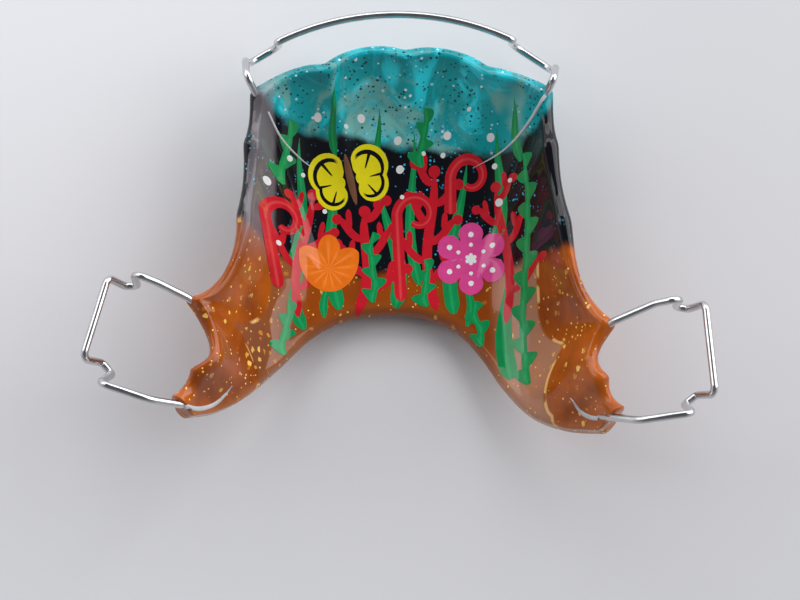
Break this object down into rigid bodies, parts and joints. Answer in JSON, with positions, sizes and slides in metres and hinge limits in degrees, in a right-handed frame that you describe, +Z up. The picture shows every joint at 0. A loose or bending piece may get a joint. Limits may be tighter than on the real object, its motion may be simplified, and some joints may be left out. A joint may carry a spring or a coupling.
{
  "type": "Hawley retainer",
  "caption": "Upper dental retainer: glossy coloured acrylic palate plate with glitter and inlaid motifs, a bent wire labial bow and wire clasps for the molars.",
  "frame": {"origin": "middle of the bounding box's underside, on the table the retainer lies on", "axes": "+X to the viewer's right across the arch, +Y towards the incisors, +Z up from the table, with the polished tongue side of the plate facing up"},
  "size_m": [0.0568, 0.0392, 0.0161],
  "materials": {
    "resin_plate": "clear high-gloss acrylic, teal in front, near black in the middle, amber behind, with glitter",
    "stainless_wire": "polished round stainless wire",
    "green_inlay": "glossy, set flush in the resin",
    "red_inlay": "glossy, set flush in the resin",
    "pink_inlay": "glossy, set flush in the resin",
    "orange_inlay": "glossy, set flush in the resin",
    "yellow_inlay": "glossy, set flush in the resin",
    "dark_inlay": "glossy, set flush in the resin",
    "white_inlay": "glossy, set flush in the resin"
  },
  "bodies": {
    "root": {"base_plate": "resin_plate", "labial_bow": "stainless_wire", "left_clasp": "stainless_wire", "right_clasp": "stainless_wire", "flower_petals": "pink_inlay", "tulip": "orange_inlay", "butterfly_left_wings": "yellow_inlay", "butterfly_right_wings": "yellow_inlay", "butterfly_body": "dark_inlay", "frond_1": "green_inlay", "frond_2": "green_inlay", "frond_3": "green_inlay", "frond_4": "green_inlay", "frond_5": "green_inlay", "frond_6": "green_inlay", "frond_7": "green_inlay", "scroll_1": "red_inlay", "scroll_2": "red_inlay", "scroll_3": "red_inlay", "dot_1": "white_inlay", "dot_2": "white_inlay", "dot_3": "white_inlay", "dot_4": "white_inlay", "dot_5": "white_inlay", "dot_6": "white_inlay", "dot_7": "white_inlay", "dot_8": "white_inlay"}
  },
  "joints": []
}
